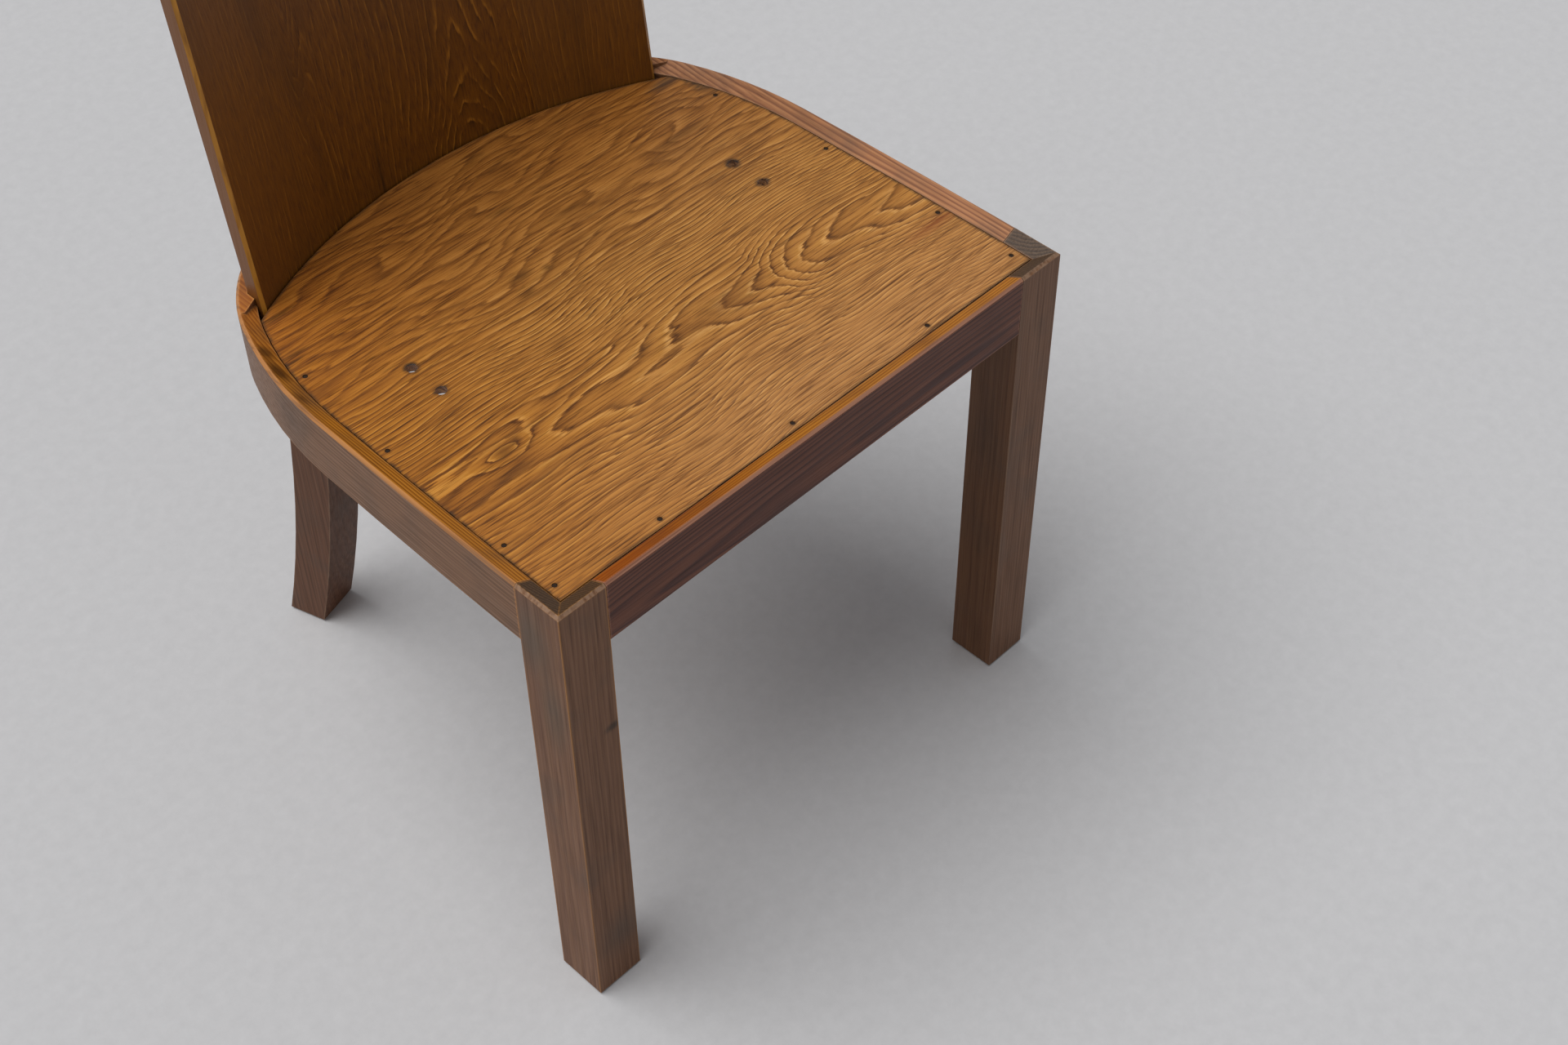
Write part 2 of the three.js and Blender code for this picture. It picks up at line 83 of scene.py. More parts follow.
# Stained pine seen as solid wood: growth rings round a pith line that runs along the board,
# fine fibres, dirt in soft patches, and paler wood where the edges are rubbed. Face and top
# hold the dark, middle and light colour of a ring; grain is the axis that the board runs along.
def stained_pine(
    name,
    grain,
    pith,
    pitch,
    face,
    top,
    worn,
    wear=0.8,
    dirt="#4a3a2e",
    rough=0.46,
    flush=None,
    marks=(),
    rim="#94765f",
    taper=0.0,
):
    made = bpy.data.materials.new(name)
    made.use_nodes = True
    tree = made.node_tree
    surface = tree.nodes["Principled BSDF"]
    place = add(tree, "TexCoord").outputs["Object"]
    keep = [1.0, 1.0, 1.0]
    keep[grain] = taper
    back = [-p * k / 1000 for p, k in zip(pith, keep)]
    across = add(tree, "Mapping", {"Vector": place, "Location": back, "Scale": keep}).outputs[0]
    slow = [1.0, 1.0, 1.0]
    slow[grain] = 0.09
    drawn = add(tree, "Mapping", {"Vector": place, "Scale": slow}).outputs[0]
    fine = [1.0, 1.0, 1.0]
    fine[grain] = 0.02
    thread = add(tree, "Mapping", {"Vector": place, "Scale": fine}).outputs[0]

    # Rings wander by about one spacing over 25 mm across the board
    wander = add(tree, "TexNoise", {"Vector": drawn, "Scale": 1000 / 25, "Detail": 2.0}).outputs["Fac"]
    radius = add(tree, "VectorMath", {0: across}, operation="LENGTH").outputs["Value"]
    count = add(tree, "Math", {0: radius, 1: 1000 / pitch}, operation="MULTIPLY").outputs[0]
    count = add(tree, "Math", {0: wander, 1: 2.6, 2: count}, operation="MULTIPLY_ADD").outputs[0]
    ring = add(tree, "Math", {0: count}, operation="FRACT").outputs[0]
    dark, middle, light = face
    side = add(
        tree,
        "ValToRGB",
        {"Fac": ring},
        stops=[(0.0, middle), (0.15, light), (0.55, middle), (0.88, dark), (1.0, middle)],
    ).outputs[0]
    dark, middle, light = top
    upper = add(
        tree,
        "ValToRGB",
        {"Fac": ring},
        stops=[(0.0, middle), (0.15, light), (0.55, middle), (0.88, dark), (1.0, middle)],
    ).outputs[0]

    # A flush of redder stain that grows along the board
    if flush:
        axis, start, end, code = flush
        spot = add(tree, "SeparateXYZ", {0: place}).outputs[axis]
        blush = add(tree, "MapRange", {"Value": spot, 1: start, 2: end, 3: 0.0, 4: 0.6}).outputs[0]
        upper = add(tree, "Mix", {0: blush, 6: upper, 7: hue(code)}, data_type="RGBA").outputs[2]

    # The normal taken over 2 mm tells top faces from side faces with a slightly ragged border
    soft = add(tree, "Bevel", {"Radius": 0.002}, samples=6).outputs[0]
    true = add(tree, "NewGeometry").outputs["True Normal"]
    rag = add(tree, "TexNoise", {"Vector": thread, "Scale": 1000 / 3, "Detail": 3.0}).outputs["Fac"]
    lift = add(tree, "SeparateXYZ", {0: soft}).outputs[2]
    lift = add(tree, "Math", {0: rag, 1: 0.25, 2: lift}, operation="MULTIPLY_ADD").outputs[0]
    up = add(tree, "MapRange", {"Value": lift, 1: 0.84, 2: 0.95, 3: 0.0, 4: 1.0}).outputs[0]
    wood = add(tree, "Mix", {0: up, 6: side, 7: upper}, data_type="RGBA").outputs[2]

    # Fibres 0.7 mm across and about 35 mm long
    fibre = add(
        tree, "TexNoise", {"Vector": thread, "Scale": 1000 / 1.4, "Detail": 4.0, "Roughness": 0.6}
    ).outputs["Fac"]
    shade = add(
        tree, "ValToRGB", {"Fac": fibre}, stops=[(0.32, "#bab2aa"), (0.5, "#f0ece8"), (0.68, "#ffffff")]
    ).outputs[0]
    wood = add(tree, "Mix", {0: 0.75, 6: wood, 7: shade}, data_type="RGBA", blend_type="MULTIPLY").outputs[2]

    # Handling dirt in soft patches about 60 mm across
    patch = add(tree, "TexNoise", {"Vector": place, "Scale": 1000 / 60, "Detail": 5.0}).outputs["Fac"]
    patch = add(tree, "MapRange", {"Value": patch, 1: 0.5, 2: 0.75, 3: 0.0, 4: 0.55}).outputs[0]
    wood = add(tree, "Mix", {0: patch, 6: wood, 7: hue(dirt)}, data_type="RGBA").outputs[2]

    # Single marks such as knots, stains and painted shade, each with its place and reach in mm
    for centre, reach, code, depth in marks:
        size = [1000 / k for k in reach]
        shift = [-m / k for m, k in zip(centre, reach)]
        near = add(tree, "Mapping", {"Vector": place, "Location": shift, "Scale": size}).outputs[0]
        near = add(tree, "VectorMath", {0: near}, operation="LENGTH").outputs["Value"]
        near = add(tree, "Math", {0: patch, 1: 0.8, 2: near}, operation="MULTIPLY_ADD").outputs[0]
        near = add(tree, "MapRange", {"Value": near, 1: 1.3, 2: 0.4, 3: 0.0, 4: depth}).outputs[0]
        wood = add(tree, "Mix", {0: near, 6: wood, 7: hue(code)}, data_type="RGBA").outputs[2]

    # Rubbed edges
    turn = add(tree, "VectorMath", {0: soft, 1: true}, operation="DOT_PRODUCT").outputs["Value"]
    bare = add(tree, "MapRange", {"Value": turn, 1: 0.995, 2: 0.9, 3: 0.0, 4: 1.0}).outputs[0]
    torn = add(tree, "MapRange", {"Value": rag, 1: 0.36, 2: 0.6, 3: 0.25, 4: wear}).outputs[0]
    bare = add(tree, "Math", {0: bare, 1: torn}, operation="MULTIPLY").outputs[0]
    wood = add(tree, "Mix", {0: bare, 6: wood, 7: hue(worn)}, data_type="RGBA").outputs[2]

    # Outer chamfer of the top edge, rubbed to paler wood by the backs of knees
    level = add(tree, "SeparateXYZ", {0: true}).outputs[2]
    level = add(tree, "Math", {0: level, 1: -0.707}, operation="ADD").outputs[0]
    level = add(tree, "Math", {0: level}, operation="ABSOLUTE").outputs[0]
    level = add(tree, "MapRange", {"Value": level, 1: 0.12, 2: 0.08, 3: 0.0, 4: 1.0}).outputs[0]
    torn = add(tree, "MapRange", {"Value": rag, 1: 0.34, 2: 0.56, 3: 0.15, 4: 0.8}).outputs[0]
    level = add(tree, "Math", {0: level, 1: torn}, operation="MULTIPLY").outputs[0]
    wood = add(tree, "Mix", {0: level, 6: wood, 7: hue(rim)}, data_type="RGBA").outputs[2]

    gloss = add(
        tree, "MapRange", {"Value": fibre, 1: 0.3, 2: 0.7, 3: rough + 0.1, 4: rough - 0.06}
    ).outputs[0]
    height = add(tree, "Math", {0: ring, 1: -0.35, 2: fibre}, operation="MULTIPLY_ADD").outputs[0]
    grainy = add(tree, "Bump", {"Height": height, "Strength": 0.3, "Distance": 0.0004}).outputs[0]
    surface.inputs["Specular IOR Level"].default_value = 0.3
    tree.links.new(wood, surface.inputs["Base Color"])
    tree.links.new(gloss, surface.inputs["Roughness"])
    tree.links.new(grainy, surface.inputs["Normal"])
    return made


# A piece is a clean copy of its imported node: welded, cut into a grid where a surface needs
# places to hang its figure on, with every sharp edge eased.
def make(node, material, ease=0.4, cuts=(), figure=None, flares=()):
    sharp = math.radians(28)
    shape = bmesh.new()
    shape.from_mesh(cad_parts[node].data)
    bmesh.ops.remove_doubles(shape, verts=shape.verts[:], dist=1e-5)
    bmesh.ops.dissolve_limit(
        shape, angle_limit=math.radians(0.2), verts=shape.verts[:], edges=shape.edges[:]
    )
    for cx, cy, under, reach, spread in flares:
        for vert in shape.verts:
            way = Vector((vert.co.x - cx / 1000, vert.co.y - cy / 1000, 0.0))
            if way.length < reach / 1000 and vert.co.z < under / 1000:
                vert.co += way.normalized() * spread / 1000
    for axis, places in cuts:
        flat = Vector((0, 0, 0))
        flat[axis] = 1.0
        for place in places:
            parts = shape.verts[:] + shape.edges[:] + shape.faces[:]
            where = flat * (place / 1000)
            bmesh.ops.bisect_plane(shape, geom=parts, plane_co=where, plane_no=flat, dist=1e-6)
    for face in shape.faces:
        face.smooth = True
    for edge in shape.edges:
        edge.smooth = len(edge.link_faces) == 2 and edge.calc_face_angle(0.0) < sharp
    mesh = bpy.data.meshes.new(node + "_mesh")
    shape.to_mesh(mesh)
    shape.free()
    mesh.materials.clear()
    mesh.materials.append(material)
    if figure is not None:
        spots = np.zeros(len(mesh.vertices) * 3, np.float32)
        mesh.vertices.foreach_get("co", spots)
        values = figure(spots.reshape(-1, 3) * 1000.0)
        mesh.attributes.new("rings", "FLOAT", "POINT").data.foreach_set("value", values.astype(np.float32))
    piece = bpy.data.objects.new(node + "_piece", mesh)
    bpy.context.scene.collection.objects.link(piece)
    if ease:
        eased = piece.modifiers.new("eased arris", "BEVEL")
        eased.width = ease / 1000
        eased.segments = 2
        eased.limit_method = "ANGLE"
        eased.angle_limit = sharp
        eased.harden_normals = True
    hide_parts(node)
    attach(piece, "root")


leg_face = ("#6d472d", "#775034", "#7d573a")
leg_end = ("#39281a", "#4d3927", "#5e4936")
near_marks = (
    ((-204, -241, 291), (8, 12, 4), "#33210f", 0.85),
    ((-240, -212, 385), (8, 18, 34), "#4d463a", 0.5),
    ((-240, -226, 322), (8, 12, 40), "#51493c", 0.4),
    ((-214, -241, 60), (20, 8, 26), "#4f4238", 0.4),
)
near_leg = stained_pine(
    "stained pine leg, near", grain=2, pith=(-176, -196, 430), pitch=2.6, face=leg_face, top=leg_end,
    worn="#a8743a", wear=1.0, marks=near_marks, taper=0.035,
)
# Painted shade: the inner face of the far leg, under the seat, darkened along its whole height
far_leg_painted_shade = (((200, -221, 220), (7, 34, 300), "#3c2511", 0.42),)
far_leg = stained_pine(
    "stained pine leg, far", grain=2, pith=(300, -190, 0), pitch=2.6, face=leg_face, top=leg_end,
    worn="#8f7159", marks=far_leg_painted_shade,
)
make("front_leg_right", near_leg)
make("front_leg_left", far_leg)

# Rear legs
# Sabre legs sawn from thick pine plank, so that the grain runs out along the curve, stained
# the same grey-brown; painted shade makes them darker all over than the front legs, as they tuck under the
# frame.
rear_face_with_painted_shade = ("#5c3b25", "#653f28", "#6c472f")
rear_leg = stained_pine(
    "stained pine leg, sawn sabre", grain=2, pith=(0, 60, 0), pitch=4.2, face=rear_face_with_painted_shade, top=leg_end,
    worn="#86694f",
)
make("rear_leg_right", rear_leg)
make("rear_leg_left", rear_leg)

# Front rail
# A straight pine board tenoned between the legs, with a redder stain than the rest and a
# sloped inner edge that has gone from red to amber.
front_face = ("#42190d", "#633420", "#714029")
front_top = ("#86480c", "#a86816", "#bf8028")
front_wood = stained_pine(
    "red stained pine rail", grain=0, pith=(102, -212, 388), pitch=2.8, face=front_face, top=front_top,
    worn="#a8775f", wear=0.9, dirt="#43231b", flush=(0, -0.02, -0.17, "#8c3408"), rim="#aa7a62", taper=0.06,
)
make("front_rail", front_wood)

# Side rails
# Curved rails sawn out of wide pine plank, grey-brown outside, with an amber sloped inner
# edge; the grain runs out in short diagonal lines where the curve turns to the back.
side_face = ("#704c33", "#805b3f", "#8d684a")
amber_top = ("#7c4608", "#ac6a16", "#c88630")
rim_marks = (
    ((-222, 62, 425), (6, 14, 6), "#4a2a08", 0.9),
    ((-217, 84, 425), (6, 9, 6), "#4a2a08", 0.8),
    ((-227, 30, 425), (5, 9, 5), "#55300a", 0.7),
)
near_rail = stained_pine(
    "stained pine rail, amber rim", grain=1, pith=(-330, 0, 520), pitch=3.0, face=side_face, top=amber_top,
    worn="#c88a50", wear=0.95, flush=(1, 0.05, 0.14, "#a05a2c"), rim="#bc8048", marks=rim_marks,
)
make("side_rail_right", near_rail)
pink_top = ("#7c4824", "#a46a3e", "#ba8050")
far_rail = stained_pine(
    "stained pine rail, rubbed rim", grain=1, pith=(330, 0, 520), pitch=4.0, face=side_face, top=pink_top,
    worn="#a87a58", rim="#b27e54",
)
make("side_rail_left", far_rail)

# Back rail
# The curved rail behind the seat that the back panel is screwed to, sawn like the side
# rails and stained with them.
back_rail = stained_pine(
    "stained pine rail, back", grain=0, pith=(0, 420, 560), pitch=3.4, face=side_face, top=amber_top,
    worn="#a47450",
)
make("back_rail", back_rail)

# Seat bearer
# A plain planed pine batten that carries the rear edge of the seat from below, never stained,
# gone grey and dusty.
batten_face = ("#9a7a52", "#b8976c", "#c6a77e")
batten = stained_pine(
    "bare pine batten", grain=0, pith=(0, 60, 300), pitch=3.0, face=batten_face, top=batten_face,
    worn="#c9ae88", wear=0.5, dirt="#857a6c", rough=0.7,
)
make("seat_bearer", batten)

# Seat panel
# Plywood with a pine face veneer, brushed so that the hard lines stand up, stained golden
# brown and nailed down inside the frame; figure opens to one side round a flat-sawn heart.
front_edge = cad_low[1] * 1000
heart_line = 131.0


def seat_rings(spots):
    x = spots[:, 0]
    y = spots[:, 1] - front_edge
    off = y - heart_line - 4.0 * np.sin(x / 47.0) - 3.0 * np.sin(x / 23.0 + 1.0)
    behind = np.interp(off, [0, 20, 38, 100, 112, 300], [0, 0.5, 3.0, 18.8, 20.6, 38.0])
    ahead = np.interp(-off, [0, 18, 32, 76, 130], [0, 0.6, 2.4, 11.6, 27.0])
    count = np.where(off > 0, behind, ahead)
    tips = np.interp(
        x,
        [-260, -84, 14, 57, 83, 91, 102, 117, 152, 200, 240],
        [-1.3, 0.0, 1.0, 2.0, 3.0, 4.0, 5.0, 6.0, 7.0, 8.0, 8.7],
    )
    fade = np.exp(-((np.abs(off) / 60.0) ** 2))
    count = count - tips * fade
    for cx, cy, wx, wy, rise in (
        (-163, 139, 22, 8, 2.4),
        (-120, 148, 26, 9, 1.1),
        (60, 301, 70, 11, -1.7),
        (155, 297, 38, 9, 1.5),
        (10, 385, 60, 9, 1.4),
        (-14, 350, 26, 12, -1.0),
        (-110, 335, 60, 14, 0.8),
        (120, 352, 50, 12, -0.8),
        (-60, 250, 40, 12, 0.7),
    ):
        count = count + rise * np.exp(-(((x - cx) / wx) ** 2) - ((y - cy) / wy) ** 2)
    rear = np.clip((y - 235) / 60, 0, 1)
    count = count + rear * (0.5 * np.sin(x / 31 + y / 17) + 0.35 * np.sin(x / 17 - y / 11))
    count = count + 0.22 * np.sin(x / 29 + y / 9) + 0.14 * np.sin(x / 13 - y / 7)
    return count


# Brushed veneer: dark hard lines with a pale ridge beside each, broken into dashes, golden
# to the left, duller at the rear, fuzzy along its edges and darkened there by grime and painted shade.
seat_wood = bpy.data.materials.new("brushed pine veneer, golden stain")
seat_wood.use_nodes = True
tree = seat_wood.node_tree
place = add(tree, "TexCoord").outputs["Object"]
spot = add(tree, "SeparateXYZ", {0: place}).outputs
rings = add(tree, "Attribute", attribute_name="rings").outputs["Fac"]
drawn = add(tree, "Mapping", {"Vector": place, "Scale": (0.1, 1.0, 1.0)}).outputs[0]
thread = add(tree, "Mapping", {"Vector": place, "Scale": (0.035, 1.0, 1.0)}).outputs[0]
wander = add(tree, "TexNoise", {"Vector": drawn, "Scale": 1000 / 9, "Detail": 3.0}).outputs["Fac"]
count = add(tree, "Math", {0: wander, 1: 0.6, 2: rings}, operation="MULTIPLY_ADD").outputs[0]
jitter = add(tree, "TexNoise", {"Vector": thread, "Scale": 1000 / 3, "Detail": 3.0}).outputs["Fac"]
count = add(tree, "Math", {0: jitter, 1: 0.6, 2: count}, operation="MULTIPLY_ADD").outputs[0]
ring = add(tree, "Math", {0: count}, operation="FRACT").outputs[0]
lines = add(
    tree,
    "ValToRGB",
    {"Fac": ring},
    stops=[
        (0.0, "#c68b45"),
        (0.08, "#dca65f"),
        (0.22, "#c0873e"),
        (0.6, "#b37a37"),
        (0.82, "#956127"),
        (0.9, "#5d3710"),
        (1.0, "#865623"),
    ],
).outputs[0]
# Away from the brushed middle the figure is softer
plain = add(
    tree,
    "ValToRGB",
    {"Fac": ring},
    stops=[(0.0, "#b57b3a"), (0.2, "#be8441"), (0.7, "#ac7433"), (0.92, "#976327"), (1.0, "#ac7535")],
).outputs[0]
dash = add(tree, "TexNoise", {"Vector": drawn, "Scale": 1000 / 6, "Detail": 3.0}).outputs["Fac"]
dash = add(tree, "MapRange", {"Value": dash, 1: 0.38, 2: 0.58, 3: 0.35, 4: 1.0}).outputs[0]
calm = add(tree, "MapRange", {"Value": spot[1], 1: -0.03, 2: 0.03, 3: 1.0, 4: 0.28}).outputs[0]
strong = add(tree, "Math", {0: dash, 1: calm}, operation="MULTIPLY").outputs[0]
wood = add(tree, "Mix", {0: strong, 6: plain, 7: lines}, data_type="RGBA").outputs[2]
# Loose streaks of darker stain, 4 mm wide and some 60 mm long, strongest towards the rear
drift = add(tree, "Mapping", {"Vector": place, "Scale": (0.06, 1.0, 1.0)}).outputs[0]
streak = add(
    tree, "TexNoise", {"Vector": drift, "Scale": 1000 / 3.8, "Detail": 8.0, "Roughness": 0.72}
).outputs["Fac"]
streak = add(tree, "MapRange", {"Value": streak, 1: 0.5, 2: 0.64, 3: 0.0, 4: 0.62}).outputs[0]
loose = add(tree, "MapRange", {"Value": calm, 1: 0.28, 2: 1.0, 3: 1.0, 4: 0.35}).outputs[0]
streak = add(tree, "Math", {0: streak, 1: loose}, operation="MULTIPLY").outputs[0]
wood = add(tree, "Mix", {0: streak, 6: wood, 7: hue("#74460f")}, data_type="RGBA").outputs[2]
# Open pores: thin dark dashes about 1 mm wide and 15 mm long
pore = add(tree, "TexNoise", {"Vector": drift, "Scale": 1000 / 1.6, "Detail": 2.0}).outputs["Fac"]
pore = add(tree, "MapRange", {"Value": pore, 1: 0.6, 2: 0.7, 3: 0.0, 4: 0.5}).outputs[0]
wood = add(tree, "Mix", {0: pore, 6: wood, 7: hue("#4e2e0e")}, data_type="RGBA").outputs[2]
# Front strip bleached to a pinkish tan
front = add(tree, "MapRange", {"Value": spot[1], 1: -0.11, 2: -0.2, 3: 0.0, 4: 0.3}).outputs[0]
wood = add(tree, "Mix", {0: front, 6: wood, 7: hue("#c99566")}, data_type="RGBA").outputs[2]
# Rear third darker and browner
rear = add(tree, "MapRange", {"Value": spot[1], 1: -0.02, 2: 0.12, 3: 0.0, 4: 0.75}).outputs[0]
wood = add(
    tree, "Mix", {0: rear, 6: wood, 7: hue("#eedcbe")}, data_type="RGBA", blend_type="MULTIPLY"
).outputs[2]
# Left side golden
gold = add(tree, "MapRange", {"Value": spot[0], 1: -0.02, 2: -0.2, 3: 0.0, 4: 0.8}).outputs[0]
wood = add(
    tree, "Mix", {0: gold, 6: wood, 7: hue("#f2de9c")}, data_type="RGBA", blend_type="MULTIPLY"
).outputs[2]
fibre = add(
    tree, "TexNoise", {"Vector": thread, "Scale": 1000 / 1.3, "Detail": 4.0, "Roughness": 0.62}
).outputs["Fac"]
shade = add(
    tree, "ValToRGB", {"Fac": fibre}, stops=[(0.36, "#8a745c"), (0.46, "#e6dccf"), (0.58, "#ffffff")]
).outputs[0]
wood = add(tree, "Mix", {0: 0.8, 6: wood, 7: shade}, data_type="RGBA", blend_type="MULTIPLY").outputs[2]
# Dark blots in the stain, 20 to 60 mm across, drawn out along the grain
blot = add(tree, "Mapping", {"Vector": place, "Scale": (0.4, 1.0, 1.0)}).outputs[0]
blot = add(
    tree, "TexNoise", {"Vector": blot, "Scale": 1000 / 30, "Detail": 5.0, "Roughness": 0.6}
).outputs["Fac"]
blot = add(tree, "MapRange", {"Value": blot, 1: 0.54, 2: 0.74, 3: 0.0, 4: 0.45}).outputs[0]
wood = add(tree, "Mix", {0: blot, 6: wood, 7: hue("#6b4119")}, data_type="RGBA").outputs[2]
# Single marks: a knot, small bruises, a red streak, slits at one rear edge, stains at the other
for mx, my, rx, ry, code in (
    (-163, -102, 6, 3.2, "#5a3410"),
    (-151, -100, 3, 2.2, "#4e2c0c"),
    (-39, 21, 6, 3.0, "#55340f"),
    (-48, 4, 5, 2.4, "#5a3710"),
    (-20, 15, 3, 2.4, "#5a3710"),
    (-2, 86, 8, 2.2, "#5e3a12"),
    (39, 52, 9, 2.4, "#62390f"),
    (150, 56, 20, 3.0, "#6a4216"),
    (208, -151, 20, 3.4, "#7c3a18"),
    (-186, 112, 9, 1.3, "#33200c"),
    (-201, 72, 8, 1.2, "#33200c"),
    (-206, 66, 7, 1.0, "#33200c"),
    (190, 112, 12, 4.0, "#3a3024"),
    (206, 92, 5, 10.0, "#463624"),
):
    size = (1000 / rx, 1000 / ry, 0.0)
    near = add(
        tree, "Mapping", {"Vector": place, "Location": (-mx / rx, -my / ry, 0.0), "Scale": size}
    ).outputs[0]
    near = add(tree, "VectorMath", {0: near}, operation="LENGTH").outputs["Value"]
    near = add(tree, "Math", {0: jitter, 1: 1.2, 2: near}, operation="MULTIPLY_ADD").outputs[0]
    near = add(tree, "MapRange", {"Value": near, 1: 2.6, 2: 1.0, 3: 0.0, 4: 0.6}).outputs[0]
    wood = add(tree, "Mix", {0: near, 6: wood, 7: hue(code)}, data_type="RGBA").outputs[2]
# Grime and painted shade gathered within 5 mm of the edge, where the panel meets the frame, and round the
# tie holes
soft = add(tree, "Bevel", {"Radius": 0.005}, samples=6).outputs[0]
true = add(tree, "NewGeometry").outputs["True Normal"]
turn = add(tree, "VectorMath", {0: soft, 1: true}, operation="DOT_PRODUCT").outputs["Value"]
grime_and_gap_shade = add(tree, "MapRange", {"Value": turn, 1: 0.998, 2: 0.85, 3: 0.0, 4: 1.0}).outputs[0]
grime_and_gap_shade = add(tree, "Math", {0: grime_and_gap_shade, 1: dash}, operation="MULTIPLY").outputs[0]
wood = add(tree, "Mix", {0: grime_and_gap_shade, 6: wood, 7: hue("#3c2c1c")}, data_type="RGBA").outputs[2]
gloss = add(tree, "MapRange", {"Value": ring, 1: 0.0, 2: 1.0, 3: 0.4, 4: 0.56}).outputs[0]
ridge = add(
    tree,
    "ValToRGB",
    {"Fac": ring},
    stops=[(0.0, "#c0c0c0"), (0.1, "#ffffff"), (0.6, "#909090"), (0.93, "#202020"), (1.0, "#c0c0c0")],
).outputs[0]
ridge = add(tree, "Math", {0: ridge, 1: 0.45, 2: fibre}, operation="MULTIPLY_ADD").outputs[0]
grainy = add(tree, "Bump", {"Height": ridge, "Strength": 0.35, "Distance": 0.0005}).outputs[0]
surface = tree.nodes["Principled BSDF"]
surface.inputs["Specular IOR Level"].default_value = 0.3
tree.links.new(wood, surface.inputs["Base Color"])
tree.links.new(gloss, surface.inputs["Roughness"])
tree.links.new(grainy, surface.inputs["Normal"])
seat_cuts = ((0, np.arange(-222, 223, 6)), (1, np.arange(-225, 165, 3)))
# The floor shows at the near edge of the tie holes, so they are taken as wider underneath
hole_aside = 154.5
hole_behind = 213.5
hole_spacing = 31.5
hole_reach = 4.4
hole_spread = 5.5
half_depth = 415.0
holes = [
    (side * hole_aside, front_edge + behind, half_depth, hole_reach, hole_spread)
    for side in (-1, 1)
    for behind in (hole_behind, hole_behind + hole_spacing)
]
make("seat_panel", seat_wood, ease=0.0, cuts=seat_cuts, figure=seat_rings, flares=holes)

# Seat nails
# Small round iron nails punched in along the seat's edge, their heads rusted near black.
iron = bpy.data.materials.new("rusted iron nail head")
iron.use_nodes = True
tree = iron.node_tree
rust = add(tree, "TexNoise", {"Scale": 1000 / 0.8, "Detail": 3.0}).outputs["Fac"]
tint = add(
    tree, "ValToRGB", {"Fac": rust}, stops=[(0.35, "#1e1712"), (0.55, "#35261c"), (0.7, "#5a3a24")]
).outputs[0]
pits = add(tree, "Bump", {"Height": rust, "Strength": 0.4, "Distance": 0.0002}).outputs[0]
surface = tree.nodes["Principled BSDF"]
tree.links.new(tint, surface.inputs["Base Color"])
tree.links.new(pits, surface.inputs["Normal"])
surface.inputs["Metallic"].default_value = 0.6
surface.inputs["Roughness"].default_value = 0.65
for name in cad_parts:
    if name.startswith("seat_nail"):
        make(name, iron, ease=0.1)

# Back panel
# A sheet of plywood bent to a curve, face veneer with upright grain, stained very dark; a
# straight-grained left part, an arched figure right of the middle and a joint near the right.
bend_radius = 412.7
seat_level = 421.6
arch_middle = 41.0
veneer_joint = 96.0


def back_rings(spots):
    x = spots[:, 0]
    h = spots[:, 2] - seat_level
    s = bend_radius * np.arcsin(np.clip(x / bend_radius, -1, 1))
    off = s - arch_middle - 3.0 * np.sin(h / 60.0)
    count = np.sqrt(off**2 + 15.0**2) / 4.8
    tops = np.interp(h, [-40, 4, 18, 31, 47, 73, 115, 190, 400], [-1.6, -1.0, 0, 1, 2, 3, 4, 5, 7])
    count = count + tops * np.exp(-((off / 56.0) ** 2))
    left = s + 105.0 + 4.0 * np.sin(h / 40.0)
    count = count - (h / 24.0) * np.exp(-((left / 13.0) ** 2))
    count = count + np.where(s > veneer_joint, 0.5 + (s - veneer_joint) * h / 9000.0, 0.0)
    return count + 0.25 * np.sin(h / 37.0 + s / 19.0) + 0.2 * np.sin(h / 71.0 - s / 9.0)


# Dark stained veneer: thin warm lines on a nearly black brown with a soft satin sheen.
back_wood = bpy.data.materials.new("dark stained pine veneer")
back_wood.use_nodes = True
tree = back_wood.node_tree
place = add(tree, "TexCoord").outputs["Object"]
spot = add(tree, "SeparateXYZ", {0: place}).outputs
rings = add(tree, "Attribute", attribute_name="rings").outputs["Fac"]
drawn = add(tree, "Mapping", {"Vector": place, "Scale": (1.0, 1.0, 0.12)}).outputs[0]
thread = add(tree, "Mapping", {"Vector": place, "Scale": (1.0, 1.0, 0.03)}).outputs[0]
wander = add(tree, "TexNoise", {"Vector": drawn, "Scale": 1000 / 10, "Detail": 3.0}).outputs["Fac"]
count = add(tree, "Math", {0: wander, 1: 1.3, 2: rings}, operation="MULTIPLY_ADD").outputs[0]
ring = add(tree, "Math", {0: count}, operation="FRACT").outputs[0]
lines = add(
    tree,
    "ValToRGB",
    {"Fac": ring},
    stops=[
        (0.0, "#976115"),
        (0.08, "#af7420"),
        (0.22, "#7b4a0b"),
        (0.8, "#653a04"),
        (0.95, "#4f2c00"),
        (1.0, "#774709"),
    ],
).outputs[0]
dash = add(tree, "TexNoise", {"Vector": drawn, "Scale": 1000 / 6, "Detail": 2.0}).outputs["Fac"]
dash = add(tree, "MapRange", {"Value": dash, 1: 0.38, 2: 0.62, 3: 0.0, 4: 0.9}).outputs[0]
